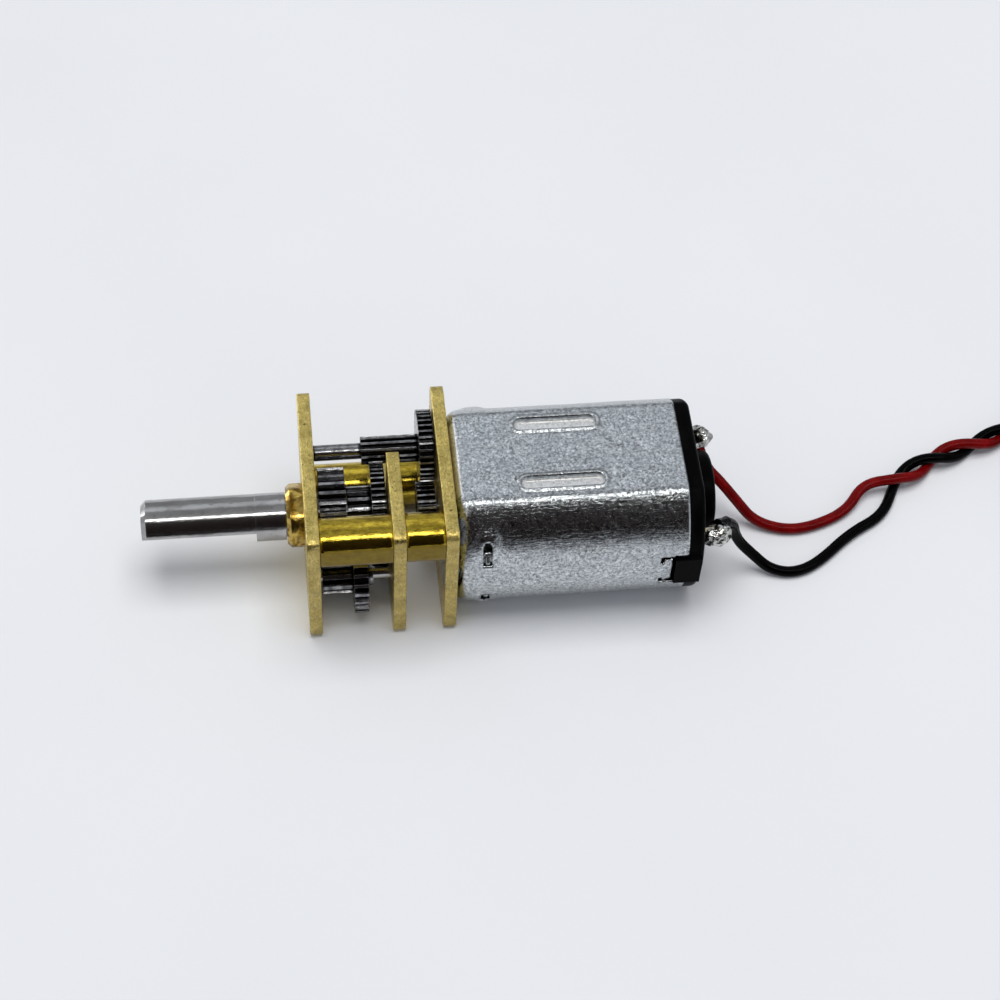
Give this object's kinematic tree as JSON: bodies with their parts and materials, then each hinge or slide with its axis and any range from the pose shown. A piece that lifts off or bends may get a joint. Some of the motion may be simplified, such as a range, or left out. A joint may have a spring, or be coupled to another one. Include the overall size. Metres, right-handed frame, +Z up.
{
  "type": "geared dc motor",
  "caption": "Small brushed DC motor with an open spur gearbox between brass plates, a D-shaped output shaft, a rectangular-section metal can, a plastic rear cap and a red and a black lead.",
  "frame": {"origin": "centre of the front plate's outer face, on the output shaft's axis, midway between the two fixing holes", "axes": "+X along the shafts from the gearbox to the motor's rear cap (the output shaft points to -X), +Y across the 12 mm width, +Z up through the 10 mm height"},
  "size_m": [0.076, 0.0194, 0.01],
  "materials": {
    "plate_brass": "brushed, lightly tarnished",
    "post_brass": "turned, lightly tarnished",
    "bush_brass": "turned",
    "shaft_steel": "ground, bright",
    "gear_steel": "oiled, cut teeth",
    "screw_steel": "plain",
    "can_nickel": "dull nickel plate",
    "bearing_bronze": "sintered",
    "magnet": "ferrite",
    "core_steel": "laminated",
    "copper": "enamelled copper",
    "hub_plastic": "moulded",
    "cap_plastic": "moulded, fine texture",
    "terminal_brass": "stamped",
    "solder": "bright solder",
    "red_insulation": "satin PVC",
    "black_insulation": "satin PVC",
    "lead_pair_insulation": "red and black twisted",
    "tinned_wire": "tinned strands"
  },
  "bodies": {
    "housing": {"front_plate": "plate_brass", "middle_plate": "plate_brass", "rear_plate": "plate_brass", "front_posts": "post_brass", "rear_posts": "post_brass", "frame_screws": "screw_steel", "motor_screws": "screw_steel", "output_bush": "bush_brass", "lower_axle": "shaft_steel", "motor_can": "can_nickel", "front_bearing": "bearing_bronze", "rear_bearing": "bearing_bronze", "magnets": "magnet", "end_cap": "cap_plastic", "terminals": "terminal_brass", "brushes": "terminal_brass", "solder_joints": "solder", "red_lead": "red_insulation", "black_lead": "black_insulation", "lead_pair": "lead_pair_insulation", "lead_coil": "lead_pair_insulation", "red_tail": "red_insulation", "black_tail": "black_insulation", "red_tip": "tinned_wire", "black_tip": "tinned_wire"},
    "armature": {"motor_shaft": "shaft_steel", "motor_pinion": "gear_steel", "armature_core": "core_steel", "windings": "copper", "commutator_hub": "hub_plastic", "commutator": "copper"},
    "first_cluster": {"first_pinion_shaft": "gear_steel", "first_wheel": "gear_steel"},
    "middle_cluster": {"middle_pinion": "gear_steel", "middle_wheel": "gear_steel"},
    "third_cluster": {"third_pinion": "gear_steel", "third_wheel": "gear_steel"},
    "output": {"output_shaft": "shaft_steel", "output_gear": "gear_steel"}
  },
  "joints": [
    {"name": "armature_spin", "type": "hinge", "parent": "housing", "child": "armature", "pos_m": [0.016, 0, 0], "axis": [1, 0, 0], "continuous": true},
    {"name": "first_cluster_spin", "type": "hinge", "parent": "housing", "child": "first_cluster", "pos_m": [0.005, 0.003, 0.0023], "axis": [1, 0, 0], "continuous": true},
    {"name": "middle_cluster_spin", "type": "hinge", "parent": "housing", "child": "middle_cluster", "pos_m": [0.004, 0, 0], "axis": [1, 0, 0], "continuous": true},
    {"name": "third_cluster_spin", "type": "hinge", "parent": "housing", "child": "third_cluster", "pos_m": [0.003, -0.003, -0.0023], "axis": [1, 0, 0], "continuous": true},
    {"name": "output_spin", "type": "hinge", "parent": "housing", "child": "output", "pos_m": [0, 0, 0], "axis": [1, 0, 0], "continuous": true}
  ],
  "couplings": [
    {"joint": "first_cluster_spin", "follows": "armature_spin", "ratio": -0.66667},
    {"joint": "middle_cluster_spin", "follows": "armature_spin", "ratio": 0.16667},
    {"joint": "third_cluster_spin", "follows": "armature_spin", "ratio": -0.1},
    {"joint": "output_spin", "follows": "armature_spin", "ratio": 0.042308}
  ]
}
